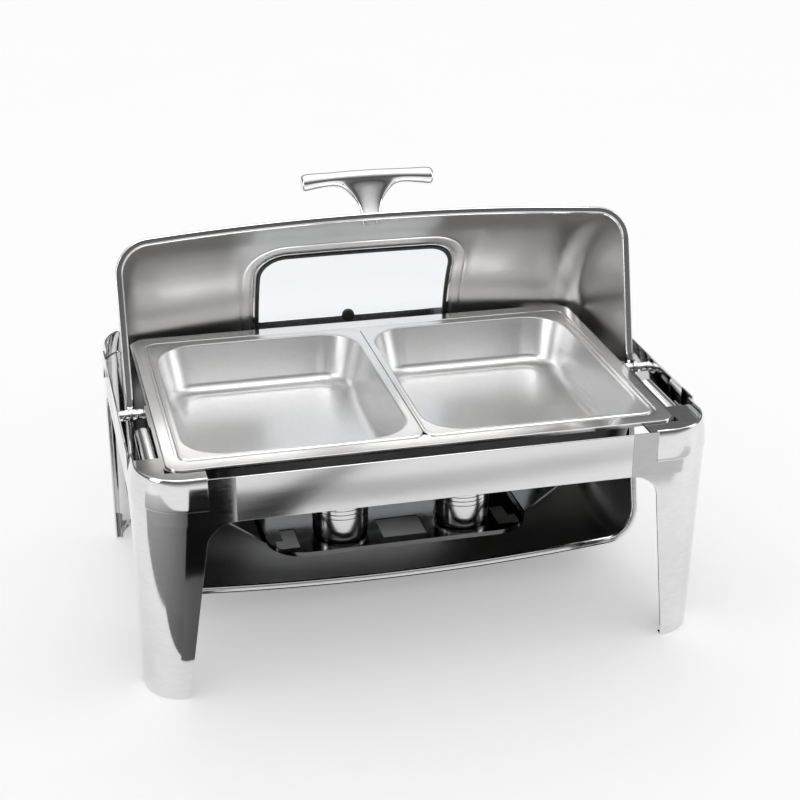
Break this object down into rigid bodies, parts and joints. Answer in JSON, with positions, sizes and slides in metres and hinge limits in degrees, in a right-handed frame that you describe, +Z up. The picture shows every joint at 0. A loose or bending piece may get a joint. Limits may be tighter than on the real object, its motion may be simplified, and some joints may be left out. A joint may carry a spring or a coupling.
{
  "type": "roll top chafer",
  "caption": "Free-standing buffet food warmer: leg stand, water pan holding food pans side by side, fuel burners below, and a rolling barrel lid with a window.",
  "frame": {"origin": "on the floor under the middle of the stand", "axes": "+X to the right along the long side, +Y to the back, +Z up; the lid is drawn open"},
  "size_m": [0.6364, 0.4474, 0.4788],
  "materials": {
    "stand_polished": "mirror-polished stainless sheet",
    "deck_steel": "polished stainless plate",
    "fastener_steel": "plain stainless fasteners",
    "pivot_chrome": "polished pins, sleeves and arms",
    "lid_polished": "polished rolled edge and trim",
    "lid_satin": "polished outside and satin inside",
    "window_glass": "clear curved tempered glass",
    "black_gasket": "matte black window seal",
    "black_rubber": "soft black rubber button",
    "handle_chrome": "bright polished casting",
    "food_pan_satin": "satin inside with bright edges",
    "water_pan_steel": "satin pressed sheet",
    "tray_polished": "polished bent sheet",
    "burner_steel": "bright spun steel"
  },
  "bodies": {
    "stand": {"arm_left": "pivot_chrome", "arm_right": "pivot_chrome", "collar_front_left": "stand_polished", "collar_front_right": "stand_polished", "collar_rear_left": "stand_polished", "collar_rear_right": "stand_polished", "deck_plate_left": "deck_steel", "deck_plate_right": "deck_steel", "front_band": "stand_polished", "fuel_tray": "tray_polished", "joint_plates": "deck_steel", "joint_screws": "fastener_steel", "leg_front_left": "stand_polished", "leg_front_right": "stand_polished", "leg_rear_left": "stand_polished", "leg_rear_right": "stand_polished", "pan_carrier": "deck_steel", "pivot_bracket_left": "deck_steel", "pivot_bracket_right": "deck_steel", "pivot_pin_left": "pivot_chrome", "pivot_pin_right": "pivot_chrome", "rail_left": "stand_polished", "rail_right": "stand_polished", "rear_band": "stand_polished", "rear_bumper": "black_rubber", "spacer_inner_left": "pivot_chrome", "spacer_inner_right": "pivot_chrome", "spacer_outer_left": "pivot_chrome", "spacer_outer_right": "pivot_chrome", "tray_screws": "fastener_steel"},
    "lid": {"handle_screws": "fastener_steel", "lid_handle": "handle_chrome", "lid_lug_left": "lid_polished", "lid_lug_right": "lid_polished", "lid_rim_wire": "lid_polished", "lid_shell": "lid_satin", "window_gasket": "black_gasket", "window_glass": "window_glass", "window_trim": "lid_polished"},
    "water_pan": {"water_pan": "water_pan_steel"},
    "food_pan_left": {"food_pan_left": "food_pan_satin"},
    "food_pan_right": {"food_pan_right": "food_pan_satin"},
    "burner_cup_left": {"burner_cup_left": "burner_steel"},
    "burner_cap_left": {"burner_cap_left": "burner_steel", "shutter_rivet_left": "fastener_steel"},
    "burner_shutter_left": {"burner_shutter_left": "burner_steel"},
    "burner_cup_right": {"burner_cup_right": "burner_steel"},
    "burner_cap_right": {"burner_cap_right": "burner_steel", "shutter_rivet_right": "fastener_steel"},
    "burner_shutter_right": {"burner_shutter_right": "burner_steel"}
  },
  "joints": [
    {"name": "lid_roll", "type": "hinge", "parent": "stand", "child": "lid", "pos_m": [0, -0.011, 0.25], "axis": [-1, 0, 0], "range_deg": [-105, 0]},
    {"name": "water_pan_lift", "type": "slide", "parent": "stand", "child": "water_pan", "axis": [0, 0, 1], "range_m": [0, 0.015]},
    {"name": "food_pan_left_lift", "type": "slide", "parent": "water_pan", "child": "food_pan_left", "axis": [0, 0, 1], "range_m": [0, 0.055]},
    {"name": "food_pan_right_lift", "type": "slide", "parent": "water_pan", "child": "food_pan_right", "axis": [0, 0, 1], "range_m": [0, 0.055]},
    {"name": "burner_cup_left_lift", "type": "slide", "parent": "stand", "child": "burner_cup_left", "axis": [0, 0, 1], "range_m": [0, 0.015]},
    {"name": "burner_cap_left_lift", "type": "slide", "parent": "burner_cup_left", "child": "burner_cap_left", "axis": [0, 0, 1], "range_m": [0, 0.012]},
    {"name": "burner_shutter_left_swing", "type": "hinge", "parent": "burner_cap_left", "child": "burner_shutter_left", "pos_m": [-0.092, -0.034, 0.145], "axis": [0, 0, 1], "range_deg": [-80, 0]},
    {"name": "burner_cup_right_lift", "type": "slide", "parent": "stand", "child": "burner_cup_right", "axis": [0, 0, 1], "range_m": [0, 0.015]},
    {"name": "burner_cap_right_lift", "type": "slide", "parent": "burner_cup_right", "child": "burner_cap_right", "axis": [0, 0, 1], "range_m": [0, 0.012]},
    {"name": "burner_shutter_right_swing", "type": "hinge", "parent": "burner_cap_right", "child": "burner_shutter_right", "pos_m": [0.055, -0.034, 0.145], "axis": [0, 0, 1], "range_deg": [-80, 0]}
  ]
}
